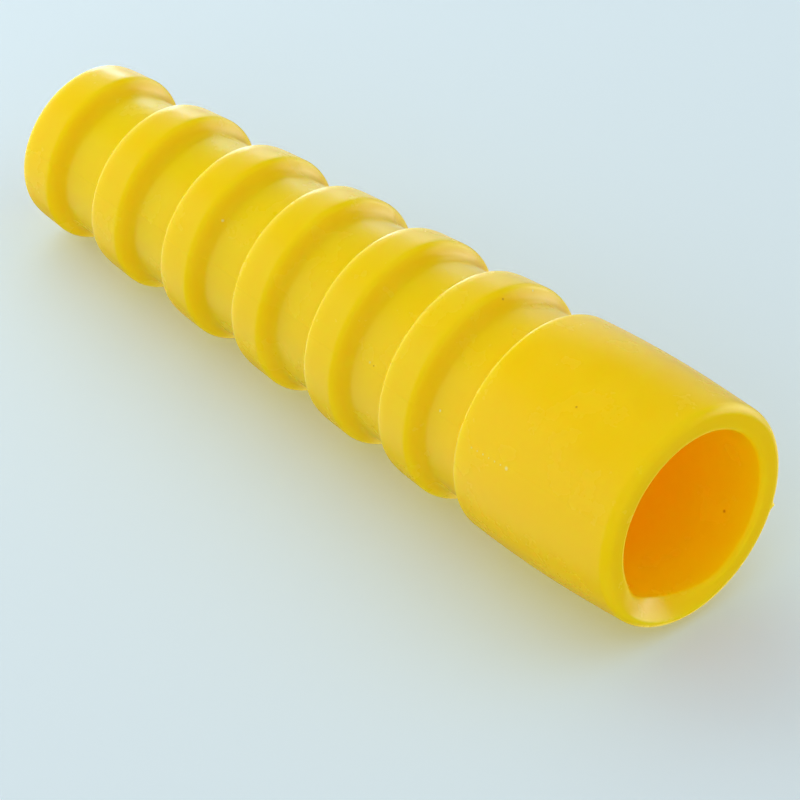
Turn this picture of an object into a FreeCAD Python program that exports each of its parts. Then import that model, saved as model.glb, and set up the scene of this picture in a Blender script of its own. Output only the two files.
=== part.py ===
import FreeCAD, Part
import math
import os

# Coaxial connector boot: a one-piece strain relief sleeve moulded in soft plastic.
# It is a body of revolution about Z that stands on its mouth at z = 0, cable end up.
# The barrel slips over the crimped rear of the connector, and the tapering, ribbed stem
# lets the cable bend gently where it leaves. All lengths are in millimetres.

# What the boot is made to fit
ferrule_diameter = 8.90
ferrule_squeeze = 0.05
cable_diameter = 6.10
cable_clearance = 0.05

# Barrel
barrel_length = 10.35
barrel_mouth_radius = 5.74
barrel_crown_radius = 5.98
barrel_crown_height = 6.20
barrel_crown_rounding = 85.0
barrel_shoulder_radius = 5.67

# Rounded lip at the mouth
lip_outer_rounding = 0.50
lip_inner_rounding = 0.30

# Ribs along the stem, counted from the barrel
rib_count = 6
rib_pitch = 5.48
rib_width = 2.32
first_rib_radius = 5.64
last_rib_radius = 4.40
rib_taper = 0.19
rib_near_lean = 0.45
rib_near_bevel = 0.16

# Grooves between the ribs
groove_depth = 0.68
groove_root_bevel = 0.32

# Entry of the cable bore
cable_entry_bevel = 0.20

# Bores: the mouth takes the ferrule down to a sloping step, the rest takes the cable
mouth_bore_radius = ferrule_diameter / 2 - ferrule_squeeze
mouth_bore_depth = 9.60
cable_bore_radius = cable_diameter / 2 + cable_clearance
step_slope_deg = 45.0

# The most of a side that the roundings at its two ends may take up
side_fill = 0.96

total_length = barrel_length + rib_count * rib_pitch
step_length = (mouth_bore_radius - cable_bore_radius) / math.tan(math.radians(step_slope_deg))


def rib_line(height):
    """Outer radius of the stem's taper at a height, measured over the ribs' near edges."""
    first = barrel_length + rib_pitch - rib_width
    last = total_length - rib_width
    share = (height - first) / max(last - first, rib_pitch)
    return first_rib_radius + share * (last_rib_radius - first_rib_radius)


def barrel_corners():
    """Corners (radius, height, rounding) from the mouth's inner edge to the shoulder."""
    return [
        (mouth_bore_radius, 0.0, lip_inner_rounding),
        (barrel_mouth_radius, 0.0, lip_outer_rounding),
        (barrel_crown_radius, barrel_crown_height, barrel_crown_rounding),
        (barrel_shoulder_radius, barrel_length, 0.0),
    ]


def rib_corners(index):
    """Corners of one groove and the rib beyond it, seen from the barrel.

    The rib's near face leans: it rises from the groove's root to the crest while it runs
    rib_near_lean along the axis. Both its ends are bevelled, as far along it as beside it.
    """
    start = barrel_length + index * rib_pitch
    far = start + rib_pitch
    near = far - rib_width
    foot = near - rib_near_lean
    crest = rib_line(near)
    root = crest - groove_depth
    face_length = math.hypot(groove_depth, rib_near_lean)
    out = groove_depth / face_length
    along = rib_near_lean / face_length
    return [
        (rib_line(start) - groove_depth, start, 0.0),
        (root, foot - groove_root_bevel, 0.0),
        (root + groove_root_bevel * out, foot + groove_root_bevel * along, 0.0),
        (crest - rib_near_bevel * out, near - rib_near_bevel * along, 0.0),
        (crest, near + rib_near_bevel, 0.0),
        (crest - rib_taper, far, 0.0),
    ]


def bore_corners():
    """Corners of the bores, from the cable end back to the mouth's depth."""
    return [
        (cable_bore_radius + cable_entry_bevel, total_length, 0.0),
        (cable_bore_radius, total_length - cable_entry_bevel, 0.0),
        (cable_bore_radius, mouth_bore_depth + step_length, 0.0),
        (mouth_bore_radius, mouth_bore_depth, 0.0),
    ]


def corner_turn(before, corner, after):
    """Unit directions into and out of a corner, and the angle turned there."""
    way_in = (corner - before).normalize()
    way_out = (after - corner).normalize()
    return way_in, way_out, way_in.getAngle(way_out)


def kept_share(length, reach_sum):
    """Share of their wanted reach that the roundings at a side's two ends keep."""
    if reach_sum == 0:
        return 1.0
    return min(1.0, side_fill * length / reach_sum)


def rounded_outline(corners):
    """Closed wire of straight sides, with a tangent arc at each corner that has a rounding."""
    points = [FreeCAD.Vector(radius, 0, height) for radius, height, rounding in corners]
    count = len(points)
    turns = [corner_turn(points[i - 1], points[i], points[(i + 1) % count]) for i in range(count)]
    reach = [corners[i][2] * math.tan(turns[i][2] / 2) for i in range(count)]
    kept = []
    for i in range(count):
        after = (i + 1) % count
        kept.append(kept_share((points[after] - points[i]).Length, reach[i] + reach[after]))
    edges = []
    first_point = None
    last_point = None
    for i in range(count):
        way_in, way_out, angle = turns[i]
        cut = reach[i] * min(kept[i - 1], kept[i])
        start = points[i] - way_in * cut
        end = points[i] + way_out * cut
        if last_point is None:
            first_point = start
        else:
            edges.append(Part.LineSegment(last_point, start).toShape())
        if cut > 0:
            radius = cut / math.tan(angle / 2)
            inward = (way_out - way_in).normalize()
            middle = points[i] + inward * (radius / math.cos(angle / 2) - radius)
            edges.append(Part.Arc(start, middle, end).toShape())
        last_point = end
    edges.append(Part.LineSegment(last_point, first_point).toShape())
    return Part.Wire(edges)


def build_boot():
    """The whole boot: its section, turned once about Z."""
    corners = barrel_corners()
    for index in range(rib_count):
        corners += rib_corners(index)
    corners += bore_corners()
    section = Part.Face(rounded_outline(corners))
    return section.revolve(FreeCAD.Vector(0, 0, 0), FreeCAD.Vector(0, 0, 1), 360)


os.makedirs("parts", exist_ok=True)
build_boot().exportStep("parts/boot.step")
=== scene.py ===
import math
import random

import bpy
from mathutils import Matrix, Vector


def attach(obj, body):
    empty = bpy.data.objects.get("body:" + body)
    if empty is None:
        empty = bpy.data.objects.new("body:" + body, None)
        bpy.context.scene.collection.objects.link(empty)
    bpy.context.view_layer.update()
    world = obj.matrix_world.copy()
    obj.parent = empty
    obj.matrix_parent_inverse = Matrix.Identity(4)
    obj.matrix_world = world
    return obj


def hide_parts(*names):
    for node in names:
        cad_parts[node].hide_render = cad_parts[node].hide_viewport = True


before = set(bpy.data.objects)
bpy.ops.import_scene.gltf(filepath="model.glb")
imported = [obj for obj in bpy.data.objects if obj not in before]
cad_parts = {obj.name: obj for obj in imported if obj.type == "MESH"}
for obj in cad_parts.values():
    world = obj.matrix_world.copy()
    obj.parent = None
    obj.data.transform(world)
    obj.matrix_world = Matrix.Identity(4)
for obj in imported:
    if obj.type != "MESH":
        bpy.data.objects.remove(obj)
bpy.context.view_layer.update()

# The boot stands on its mouth at z = 0 with its cable end up. The main view looks at it as if
# it lay on a table: from below the mouth's level, rolled, with the table along the boot's side.
# Lengths are in millimetres and angles in degrees. MM turns a length into metres, where a mesh,
# a material, a lamp or the camera takes it.
MM = 0.001

# Main camera
view_azimuth = 26.06
view_elevation = -36.74
view_roll = 57.74
view_distance = 283.54
view_aim = (-2.337, -1.143, 17.898)
view_lens = 268.32
sensor_width = 36.0
nearest_seen = 10.0

# Outline of the boot, as the solid has it
barrel_length = 10.35
barrel_mouth_radius = 5.74
barrel_crown_radius = 5.98
barrel_crown_height = 6.20
barrel_crown_rounding = 85.0
barrel_shoulder_radius = 5.67
lip_outer_rounding = 0.50
lip_inner_rounding = 0.30
mouth_bore_radius = 4.40
mouth_bore_depth = 9.60
cable_bore_radius = 3.10
step_length = 1.30
rib_count = 6
rib_pitch = 5.48
rib_width = 2.32
first_rib_radius = 5.64
last_rib_radius = 4.40
rib_taper = 0.19
rib_near_lean = 0.45
groove_depth = 0.68
total_length = barrel_length + rib_count * rib_pitch

# Roundings that the solid has as bevels or sharp edges
shoulder_rounding = 0.40
groove_back_fillet = 0.06
groove_root_fillet = 0.75
rib_near_rounding = 0.42
rib_far_rounding = 0.42
rib_crown_rounding = 3.0
bore_edge_rounding = 0.20

# The most of a side that the roundings at its two ends may take up
side_fill = 0.96

# Near its far edge, each rib's crest drops a little more than the solid's
rib_crown_length = 0.60
rib_crown_drop = 0.06

# The skin lies this far inside the solid, so that the parting line stays inside the solid's box
skin_inset = 0.022

# How finely the skin is divided: steps in each arc, the longest side, columns round the axis
arc_steps = 7
longest_side = 0.42
column_count = 180

# Where the two mould halves met, seen as azimuths about the axis, and its raised line.
# The line ends at its reach, counted in half widths, and each half width has its own columns.
parting_azimuths = (0.0, 180.0)
parting_height = 0.012
parting_half_width_deg = 0.75
parting_steepness = 2.0
parting_reach = 2
parting_columns = 4

# Along its length the parting line's height is random, from a least share up, then smoothed
# over some rows to each side
parting_seed = 7
parting_least_share = 0.35
parting_smoothed_rows = 3

# The parting line is only on the outside, so it keeps this far from the walls of the bores
mouth_bore_margin = 0.2
cable_bore_margin = 0.3

# The lip slopes inwards at one side, where the sleeve was trimmed
trim_azimuth = 273.0
trim_half_width_deg = 50.0
trim_width = 1.00
trim_slope = 0.84

# A nub of flash that stands out of the lip at the mould's parting line
nub_azimuth = 180.0
nub_half_width_deg = 1.5
nub_middle_height = 0.22
nub_half_height = 0.16
nub_thickness = 0.21

# Where the nub ends: half widths from its middle, least radius and greatest height
nub_reach = 2.5
nub_least_radius = 5.2
nub_top_height = 1.0

# Small marks from moulding and handling: height, azimuth, about the surface's radius, size
# Nicks of flash: real small bumps, whose pale colour is a painted highlight, the glint that each one
# catches
nicks_with_painted_glint = (
    (9.2, -2.0, 5.8, 0.055),
    (8.8, -1.8, 5.8, 0.045),
    (8.4, -1.6, 5.8, 0.060),
    (8.0, -1.5, 5.8, 0.045),
    (7.6, -1.3, 5.9, 0.055),
    (7.2, -1.1, 5.9, 0.050),
    (6.8, -1.0, 5.9, 0.120),
    (12.2, 2.0, 4.9, 0.080),
    (17.3, 3.0, 4.8, 0.080),
    (29.4, 28.0, 4.4, 0.085),
    (13.5, 96.0, 5.3, 0.070),
)
dark_specks = (
    (4.97, 40.0, 5.9, 0.075),
    (13.32, 74.0, 5.3, 0.080),
    (17.0, 2.5, 4.8, 0.060),
    (1.74, 192.0, 4.4, 0.100),
)

# The share of a mark's size that has its full colour
mark_core = 0.4

# Soft plastic: its colours, mottled between two tones, and those of the marks. The nicks' pale colour is
# a painted highlight.
plastic_deep = (1.0, 0.65, 0.0)
plastic_bright = (1.0, 0.70, 0.002)
nick_glint_colour = (1.0, 0.86, 0.32)
speck_colour = (0.62, 0.33, 0.0)

# Mottling and fine mould texture: scales are in waves per metre
mottle_scale = 420.0
mottle_detail = 4.0
mottle_roughness = 0.55
grain_scale = 5200.0
grain_detail = 3.0
grain_roughness = 0.6
grain_strength = 0.10
grain_depth = 0.02

# Gloss: the surface is smoothest where the mottling is low and roughest where it is high
plastic_ior = 1.5
plastic_specular = 0.40
mottle_low = 0.3
mottle_high = 0.7
smoothest = 0.20
roughest = 0.30

# How far light travels inside the plastic, and the share of that for red, green and blue
light_reach = 1.4
light_reach_shares = (1.0, 0.70, 0.06)

# Light that comes through the stem's wall: a disk as wide as this share of the cable bore
wall_light_share = 0.97
wall_light_watts = 0.00014
wall_light_colour = (1.0, 0.42, 0.0)

# Studio light: an even level all round, and the pale backdrop that the camera sees
ambient_level = 0.645
ambient_colour = (1.025, 1.0, 0.99)
backdrop_white = (0.72, 0.83, 0.88)

# What reflections see of the studio: the backdrop at a low level, and soft lobes over it
# (azimuth, elevation, cosines at which the lobe starts and is full, level when full, colour)
reflected_backdrop_level = 0.02
table_bounce = (1.0, 0.80, 0.34)
warm_white = (0.90, 0.95, 0.76)
studio_lobes = (
    (165.0, 32.0, 0.72, 0.96, 0.42, backdrop_white),
    (165.0, 76.0, 0.70, 0.97, 1.50, backdrop_white),
    (-30.0, 60.0, 0.62, 0.86, 0.62, backdrop_white),
    (222.0, 38.0, 0.75, 0.95, 0.24, table_bounce),
    (206.0, 4.0, 0.86, 0.97, 1.30, table_bounce),
    (158.0, -22.0, 0.86, 0.97, 2.80, warm_white),
    (150.0, 2.0, 0.88, 0.98, 1.35, warm_white),
)

# Square lamps that look at the middle of the boot
# (name, azimuth, elevation, distance, size, watts, whether reflections show it, colour)
plain_white = (1.0, 1.0, 1.0)
studio_lamps = (
    ("key", 84.0, 46.0, 280.0, 260.0, 0.157, False, (0.90, 1.0, 1.04)),
    ("low", 100.0, -35.0, 300.0, 200.0, 0.05, False, plain_white),
    ("back", 165.0, 60.0, 300.0, 120.0, 0.06, True, plain_white),
    ("window", 143.0, 45.0, 116.0, 30.0, 0.0021, True, (0.6, 0.85, 1.0)),
    ("window_end", 147.0, 55.0, 137.0, 28.0, 0.0084, True, (0.35, 0.72, 1.0)),
    ("end", 15.0, 64.0, 150.0, 90.0, 0.066, False, plain_white),
    ("front", -4.0, -28.0, 320.0, 260.0, 0.145, False, plain_white),
)

# Floor under the standing boot, which turns into the backdrop between two distances
floor_size = 30000.0
floor_colour = (0.62, 0.74, 0.79)
floor_fade_start = 15.0
floor_fade_end = 180.0

# Table that the boot seems to lie on: it touches the ribs along the side away from this azimuth
table_azimuth = 67.9
table_size = 500.0
table_colour = (0.742, 0.888, 0.954)

# Gate: a clear sheet between the main camera and the boot. Only rays through it see the table.
gate_size = 2000.0
gate_height = -110.0


def direction(azimuth, elevation):
    """Unit vector from the boot towards an azimuth and elevation: azimuth 0 is -Y, 90 is +X."""
    a = math.radians(azimuth)
    e = math.radians(elevation)
    return Vector((math.sin(a) * math.cos(e), -math.cos(a) * math.cos(e), math.sin(e)))


def azimuth_gap(azimuth, other):
    """Angle between two azimuths, the shorter way round."""
    return abs((azimuth - other + 180) % 360 - 180)


def rib_line(height):
    """Outer radius of the stem's taper at a height, measured over the ribs' near edges."""
    first = barrel_length + rib_pitch - rib_width
    last = total_length - rib_width
    share = (height - first) / (last - first)
    return first_rib_radius + share * (last_rib_radius - first_rib_radius)


def rib_corners(index):
    """Corners (radius, height, rounding) of one groove and the rib beyond it."""
    start = barrel_length + index * rib_pitch
    far = start + rib_pitch
    near = far - rib_width
    crest = rib_line(near)
    crown_share = 1 - rib_crown_length / rib_width
    return [
        (rib_line(start) - groove_depth, start, groove_back_fillet),
        (crest - groove_depth, near - rib_near_lean, groove_root_fillet),
        (crest, near, rib_near_rounding),
        (crest - rib_taper * crown_share, far - rib_crown_length, rib_crown_rounding),
        (crest - rib_taper - rib_crown_drop, far, rib_far_rounding),
    ]


def outline_corners():
    """Corners (radius, height, rounding) of the section, from the mouth's inner edge and round."""
    corners = [
        (mouth_bore_radius, 0.0, lip_inner_rounding),
        (barrel_mouth_radius, 0.0, lip_outer_rounding),
        (barrel_crown_radius, barrel_crown_height, barrel_crown_rounding),
        (barrel_shoulder_radius, barrel_length, shoulder_rounding),
    ]
    for index in range(rib_count):
        corners += rib_corners(index)
    corners += [
        (cable_bore_radius, total_length, bore_edge_rounding),
        (cable_bore_radius, mouth_bore_depth + step_length, bore_edge_rounding),
        (mouth_bore_radius, mouth_bore_depth, bore_edge_rounding),
    ]
    return corners


def corner_turns(points):
    """For each corner, the directions into and out of it and the angle turned there."""
    turns = []
    for i, corner in enumerate(points):
        way_in = (corner - points[i - 1]).normalized()
        way_out = (points[(i + 1) % len(points)] - corner).normalized()
        turns.append((way_in, way_out, way_in.angle_signed(way_out)))
    return turns


def corner_arc(corner, way_in, way_out, turn, cut):
    """Points of the tangent arc that starts and ends at this distance from a corner."""
    radius = cut / math.tan(abs(turn) / 2)
    inward = (way_out - way_in).normalized()
    centre = corner + inward * (radius / math.cos(turn / 2))
    spoke = corner - way_in * cut - centre
    arc = []
    for step in range(arc_steps + 1):
        # A signed angle is positive clockwise, but Rotation turns the other way, hence the minus
        angle = -turn * step / arc_steps
        arc.append(centre + Matrix.Rotation(angle, 2) @ spoke)
    return arc


def split_side(start, end):
    """Points between two ends, none further apart than the longest side, without the ends."""
    pieces = max(1, math.ceil((end - start).length / longest_side))
    return [start.lerp(end, i / pieces) for i in range(1, pieces)]


def rounded_points(corners):
    """Points of the closed outline: each corner as an arc, long straight sides split up."""
    points = [Vector((radius, height)) for radius, height, rounding in corners]
    turns = corner_turns(points)
    count = len(points)
    reach = [corners[i][2] * math.tan(abs(turns[i][2]) / 2) for i in range(count)]
    # The roundings at a side's two ends are both cut back where the side is too short for them
    kept = []
    for i in range(count):
        after = (i + 1) % count
        side = (points[after] - points[i]).length
        kept.append(min(1.0, side_fill * side / (reach[i] + reach[after])))
    outline = []
    for i in range(count):
        cut = reach[i] * min(kept[i - 1], kept[i])
        arc = corner_arc(points[i], *turns[i], cut)
        if outline:
            outline += split_side(outline[-1], arc[0])
        outline += arc
    outline += split_side(outline[-1], outline[0])
    return outline


def skin_azimuths():
    """Azimuths of the skin's columns, close together at the parting line."""
    angles = set()
    for step in range(column_count):
        angles.add(round(step * 360 / column_count, 3))
    last = parting_reach * parting_columns
    for line in parting_azimuths:
        for step in range(-last, last + 1):
            angles.add(round((line + step * parting_half_width_deg / parting_columns) % 360, 3))
    return sorted(angles)


def parting_shares(rows):
    """The share of its full height that the parting line has at each row of the skin."""
    wobble = random.Random(parting_seed)
    spread = 1 - parting_least_share
    patches = [parting_least_share + spread * wobble.random() for row in range(rows)]
    window = range(-parting_smoothed_rows, parting_smoothed_rows + 1)
    return [sum(patches[(row + k) % rows] for k in window) / len(window) for row in range(rows)]


def parting_rise(azimuth):
    """How far the parting line stands up at an azimuth, where it has its full height."""
    rise = 0.0
    for line in parting_azimuths:
        away = azimuth_gap(azimuth, line)
        if away < parting_reach * parting_half_width_deg:
            fall = (away / parting_half_width_deg) ** 2 * parting_steepness
            rise += parting_height * math.exp(-fall)
    return rise


def is_outside(radius, height):
    """Whether a point of the section is on the boot's outside, away from both bores."""
    below_step = height < mouth_bore_depth + step_length + cable_bore_margin
    in_mouth = below_step and radius < mouth_bore_radius + mouth_bore_margin
    return radius > cable_bore_radius + cable_bore_margin and not in_mouth


def trimmed(azimuth, radius, height):
    """Height of a point of the lip, also where the lip slopes inwards."""
    away = azimuth_gap(azimuth, trim_azimuth)
    inside = mouth_bore_radius + trim_width - radius
    if away > trim_half_width_deg or inside <= 0 or height > trim_width:
        return height
    share = 0.5 + 0.5 * math.cos(math.pi * away / trim_half_width_deg)
    return height + share * max(0.0, inside * trim_slope - height)


def nub_rise(azimuth, radius, height):
    """How far the nub of flash stands out of the lip."""
    away = azimuth_gap(azimuth, nub_azimuth)
    if away > nub_reach * nub_half_width_deg or radius < nub_least_radius or height > nub_top_height:
        return 0.0
    side = math.exp(-((away / nub_half_width_deg) ** 2))
    up = math.exp(-(((height - nub_middle_height) / nub_half_height) ** 2))
    return nub_thickness * side * up


def skin_points(outline, azimuths):
    """Points of the skin in metres: a row for each point of the outline, turned about Z."""
    shares = parting_shares(len(outline))
    points = []
    for row, (radius, height) in enumerate(outline):
        after = outline[(row + 1) % len(outline)]
        along = (after - outline[row - 1]).normalized()
        normal = Vector((along.y, -along.x))
        outside = is_outside(radius, height)
        for azimuth in azimuths:
            rise = parting_rise(azimuth) * shares[row] if outside else 0.0
            lift = rise - skin_inset
            r = radius + normal.x * lift + nub_rise(azimuth, radius, height)
            z = trimmed(azimuth, r, height + normal.y * lift)
            a = math.radians(azimuth)
            points.append((r * math.sin(a) * MM, -r * math.cos(a) * MM, z * MM))
    return points


def skin_faces(rows, columns):
    """Four-sided faces between each row of the skin and the next, all the way round."""
    faces = []
    for row in range(rows):
        below = row * columns
        above = ((row + 1) % rows) * columns
        for column in range(columns):
            beside = (column + 1) % columns
            faces.append((below + column, below + beside, above + beside, above + column))
    return faces


def make_skin():
    """The visible boot: the rounded section turned about Z, with its moulding and trimming traces."""
    outline = rounded_points(outline_corners())
    azimuths = skin_azimuths()
    mesh = bpy.data.meshes.new("boot_skin")
    mesh.from_pydata(skin_points(outline, azimuths), [], skin_faces(len(outline), len(azimuths)))
    mesh.validate()
    mesh.polygons.foreach_set("use_smooth", [True] * len(mesh.polygons))
    mesh.update()
    skin = bpy.data.objects.new("boot_skin", mesh)
    bpy.context.scene.collection.objects.link(skin)
    return skin


class Nodes:
    """Short ways to add and join nodes in one node tree. Inputs are values or sockets."""

    def __init__(self, tree):
        self.tree = tree
        tree.nodes.clear()

    def add(self, kind, values=None, **settings):
        """A node of any kind, with its settings and inputs."""
        node = self.tree.nodes.new(kind)
        for name, value in settings.items():
            setattr(node, name, value)
        for name, value in (values or {}).items():
            if isinstance(value, bpy.types.NodeSocket):
                self.tree.links.new(value, node.inputs[name])
            else:
                node.inputs[name].default_value = value
        return node

    def number(self, operation, first, second):
        """The result of a Math node."""
        return self.add("ShaderNodeMath", {0: first, 1: second}, operation=operation).outputs[0]

    def vector(self, operation, inputs, output="Vector"):
        """The result of a Vector Math node."""
        return self.add("ShaderNodeVectorMath", inputs, operation=operation).outputs[output]

    def ramp(self, value, start, end, low, high, smooth=False):
        """A value that goes from low to high while another goes from start to end."""
        node = self.add(
            "ShaderNodeMapRange",
            {"Value": value, "From Min": start, "From Max": end, "To Min": low, "To Max": high},
            interpolation_type="SMOOTHSTEP" if smooth else "LINEAR",
        )
        return node.outputs["Result"]

    def tone(self, factor, first, second):
        """A colour between two others."""
        node = self.add("ShaderNodeMix", {"Factor": factor, "A": first, "B": second}, data_type="RGBA")
        return node.outputs["Result"]

    def blend(self, factor, first, second):
        """A shader between two others."""
        return self.add("ShaderNodeMixShader", {0: factor, 1: first, 2: second}).outputs["Shader"]


def opaque(colour):
    """A colour of red, green and blue, with the fourth number that a socket needs."""
    return (*colour, 1.0)


def new_material(name):
    """A new material and a way to add its nodes."""
    material = bpy.data.materials.new(name)
    material.use_nodes = True
    return material, Nodes(material.node_tree)


def spots(n, place, marks, skin):
    """Factor that is 1 at the marks and fades out at their edges. Each mark sits on the skin."""
    total = 0.0
    for height, azimuth, radius, size in marks:
        guess = direction(azimuth, 0) * radius * MM + Vector((0, 0, height * MM))
        spot = skin.closest_point_on_mesh(guess)[1]
        away = n.vector("DISTANCE", {0: place, 1: spot}, "Value")
        near = n.ramp(away, size * MM, mark_core * size * MM, 0.0, 1.0)
        total = n.number("MAXIMUM", total, near)
    return total


def noise(n, place, scale, detail, roughness):
    """Values of a noise pattern that fills space."""
    inputs = {"Vector": place, "Scale": scale, "Detail": detail, "Roughness": roughness}
    return n.add("ShaderNodeTexNoise", inputs).outputs["Fac"]


def soft_pvc(skin):
    """Yellow soft plastic: satin, a little translucent, with faint mottling, mould texture and marks;
    the nicks' pale colour is a painted highlight.
    """
    material, n = new_material("soft_pvc")
    place = n.add("ShaderNodeTexCoord").outputs["Object"]
    mottle = noise(n, place, mottle_scale, mottle_detail, mottle_roughness)
    grain = noise(n, place, grain_scale, grain_detail, grain_roughness)
    colour = n.tone(mottle, opaque(plastic_deep), opaque(plastic_bright))
    # Painted highlight: the nicks are lightened to a pale colour, as if each caught a glint
    colour = n.tone(spots(n, place, nicks_with_painted_glint, skin), colour, opaque(nick_glint_colour))
    colour = n.tone(spots(n, place, dark_specks, skin), colour, opaque(speck_colour))
    bump = n.add(
        "ShaderNodeBump", {"Height": grain, "Strength": grain_strength, "Distance": grain_depth * MM}
    )
    shader = n.add(
        "ShaderNodeBsdfPrincipled",
        {
            "Base Color": colour,
            "Roughness": n.ramp(mottle, mottle_low, mottle_high, smoothest, roughest),
            "IOR": plastic_ior,
            "Specular IOR Level": plastic_specular,
            "Subsurface Weight": 1.0,
            "Subsurface Radius": light_reach_shares,
            "Subsurface Scale": light_reach * MM,
            "Normal": bump.outputs["Normal"],
        },
    )
    n.add("ShaderNodeOutputMaterial", {"Surface": shader.outputs["BSDF"]})
    return material


def paper(n, colour):
    """Plain matt surface."""
    return n.add("ShaderNodeBsdfDiffuse", {"Color": opaque(colour)}).outputs["BSDF"]


def fading_paper(n, colour):
    """Plain matt surface that turns into the backdrop's own light far from the boot."""
    place = n.add("ShaderNodeTexCoord").outputs["Object"]
    away = n.vector("LENGTH", {0: place}, "Value")
    far = n.ramp(away, floor_fade_start * MM, floor_fade_end * MM, 0.0, 1.0, smooth=True)
    glow = n.add("ShaderNodeEmission", {"Color": opaque(backdrop_white)}).outputs["Emission"]
    return n.blend(far, paper(n, colour), glow)


def stage_material(name, surface, colour, behind_gate):
    """Sheet that only camera rays see, on its front, and where asked only from behind the gate."""
    material, n = new_material(name)
    ray = n.add("ShaderNodeLightPath").outputs
    back = n.add("ShaderNodeNewGeometry").outputs["Backfacing"]
    shown = n.number("MULTIPLY", ray["Is Camera Ray"], n.number("SUBTRACT", 1.0, back))
    if behind_gate:
        # The depth counts the clear sheets that a ray has passed
        passed = n.number("GREATER_THAN", ray["Transparent Depth"], 0.5)
        shown = n.number("MULTIPLY", shown, passed)
    clear = n.add("ShaderNodeBsdfTransparent").outputs["BSDF"]
    n.add("ShaderNodeOutputMaterial", {"Surface": n.blend(shown, clear, surface(n, colour))})
    return material


def gate_material():
    """Clear, so that it only counts: a ray that has passed this sheet came from below."""
    material, n = new_material("gate")
    clear = n.add("ShaderNodeBsdfTransparent").outputs["BSDF"]
    n.add("ShaderNodeOutputMaterial", {"Surface": clear})
    return material


def sheet(name, size, centre, normal, material):
    """Square sheet whose front looks along its normal."""
    half = size / 2 * MM
    mesh = bpy.data.meshes.new(name)
    corners = [(-half, -half, 0), (half, -half, 0), (half, half, 0), (-half, half, 0)]
    mesh.from_pydata(corners, [], [(0, 1, 2, 3)])
    mesh.materials.append(material)
    obj = bpy.data.objects.new(name, mesh)
    obj.location = Vector(centre) * MM
    obj.rotation_mode = "QUATERNION"
    obj.rotation_quaternion = Vector(normal).to_track_quat("Z", "Y")
    bpy.context.scene.collection.objects.link(obj)


def make_stage():
    """The floor under the boot, the table that the main view shows it lying on, and the gate."""
    up = (0, 0, 1)
    sheet("floor", floor_size, (0, 0, 0), up, stage_material("floor", fading_paper, floor_colour, False))
    # The table leans with the stem's taper and touches the first rib's near edge
    slope = (first_rib_radius - last_rib_radius) / ((rib_count - 1) * rib_pitch)
    flat = direction(table_azimuth, 0)
    normal = (flat - Vector((0, 0, slope))).normalized()
    touch_height = barrel_length + rib_pitch - rib_width
    touch = Vector((0, 0, touch_height)) - flat * first_rib_radius
    sheet("table", table_size, touch, normal, stage_material("table", paper, table_colour, True))
    sheet("gate", gate_size, (0, 0, gate_height), up, gate_material())


def area_lamp(name, shape, size, watts, colour, shiny):
    """Lamp with a flat shape, hidden from the camera. Reflections show it only if it is shiny."""
    light = bpy.data.lights.new(name, "AREA")
    light.shape = shape
    light.size = size * MM
    light.energy = watts
    light.color = colour
    lamp = bpy.data.objects.new(name, light)
    lamp.visible_camera = False
    lamp.visible_glossy = shiny
    bpy.context.scene.collection.objects.link(lamp)
    return lamp


def make_lamps():
    """The studio's lamps round the boot."""
    aim = Vector((0, 0, total_length / 2)) * MM
    for name, azimuth, elevation, distance, size, watts, shiny, colour in studio_lamps:
        lamp = area_lamp(name, "SQUARE", size, watts, colour, shiny)
        way = direction(azimuth, elevation)
        lamp.location = aim + way * distance * MM
        lamp.rotation_mode = "QUATERNION"
        lamp.rotation_quaternion = way.to_track_quat("Z", "Y")


def make_wall_light():
    """Light that comes through the stem's thin wall, out of the cable bore into the mouth."""
    size = 2 * cable_bore_radius * wall_light_share
    lamp = area_lamp("through_wall", "DISK", size, wall_light_watts, wall_light_colour, False)
    lamp.location = (0, 0, (mouth_bore_depth + step_length) * MM)


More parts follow.
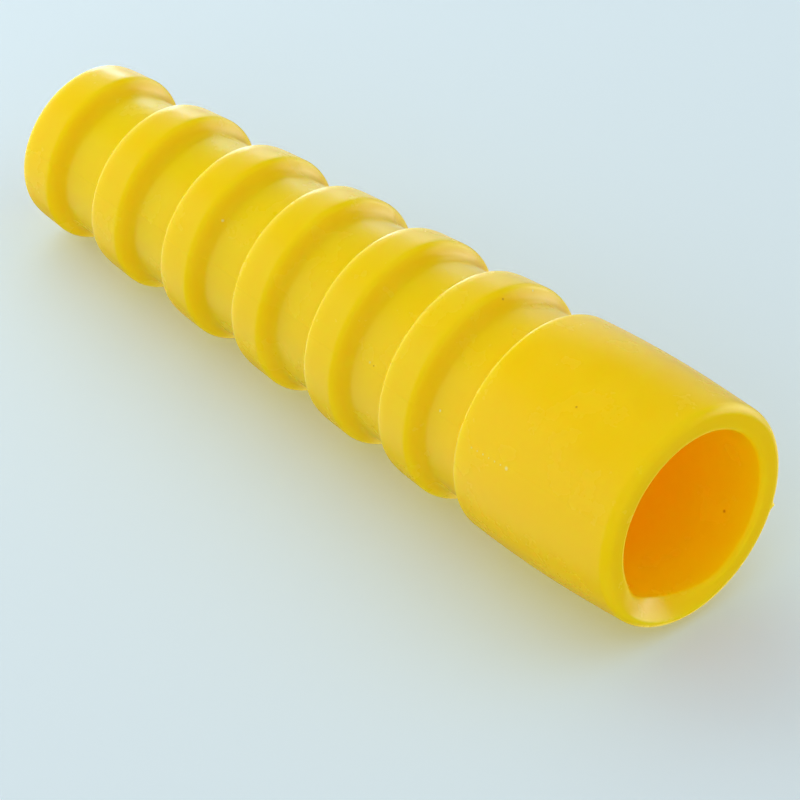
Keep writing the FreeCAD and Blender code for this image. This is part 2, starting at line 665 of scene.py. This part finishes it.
def studio_reflection(n):
    """What reflections see of the studio in each direction."""
    way = n.add("ShaderNodeTexCoord").outputs["Generated"]
    total = Vector(backdrop_white) * reflected_backdrop_level
    for azimuth, elevation, start, full, level, colour in studio_lobes:
        towards = n.vector("DOT_PRODUCT", {0: way, 1: direction(azimuth, elevation)}, "Value")
        lobe = n.ramp(towards, start, full, 0.0, level, smooth=True)
        tinted = n.vector("SCALE", {0: colour, "Scale": lobe})
        total = n.vector("ADD", {0: total, 1: tinted})
    return total


def make_world():
    """Even light for the boot. The camera and transmission see the backdrop, reflections the studio."""
    world = bpy.data.worlds.new("studio")
    bpy.context.scene.world = world
    world.use_nodes = True
    n = Nodes(world.node_tree)
    ray = n.add("ShaderNodeLightPath").outputs
    seen = n.number("MAXIMUM", ray["Is Camera Ray"], ray["Is Glossy Ray"])
    seen = n.number("MAXIMUM", seen, ray["Is Transmission Ray"])
    shown = n.tone(ray["Is Glossy Ray"], opaque(backdrop_white), studio_reflection(n))
    light = n.add("ShaderNodeBackground", {"Color": opaque(ambient_colour), "Strength": ambient_level})
    backdrop = n.add("ShaderNodeBackground", {"Color": shown, "Strength": 1.0})
    surface = n.blend(seen, light.outputs["Background"], backdrop.outputs["Background"])
    n.add("ShaderNodeOutputWorld", {"Surface": surface})


def make_camera():
    """The photograph's view: its direction, roll, distance and lens."""
    data = bpy.data.cameras.new("camera")
    data.sensor_width = sensor_width
    data.lens = view_lens
    data.clip_start = nearest_seen * MM
    camera = bpy.data.objects.new("camera", data)
    back = direction(view_azimuth, view_elevation)
    upright = back.to_track_quat("Z", "Y").to_matrix()
    roll = Matrix.Rotation(math.radians(-view_roll), 3, "Z")
    place = (Vector(view_aim) + back * view_distance) * MM
    camera.matrix_world = Matrix.Translation(place) @ (upright @ roll).to_4x4()
    bpy.context.scene.collection.objects.link(camera)
    bpy.context.scene.camera = camera


skin = make_skin()
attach(skin, "root")
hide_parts("boot")
skin.data.materials.append(soft_pvc(skin))

make_stage()
make_world()
make_lamps()
make_wall_light()
make_camera()

bpy.context.scene.view_settings.view_transform = "Standard"
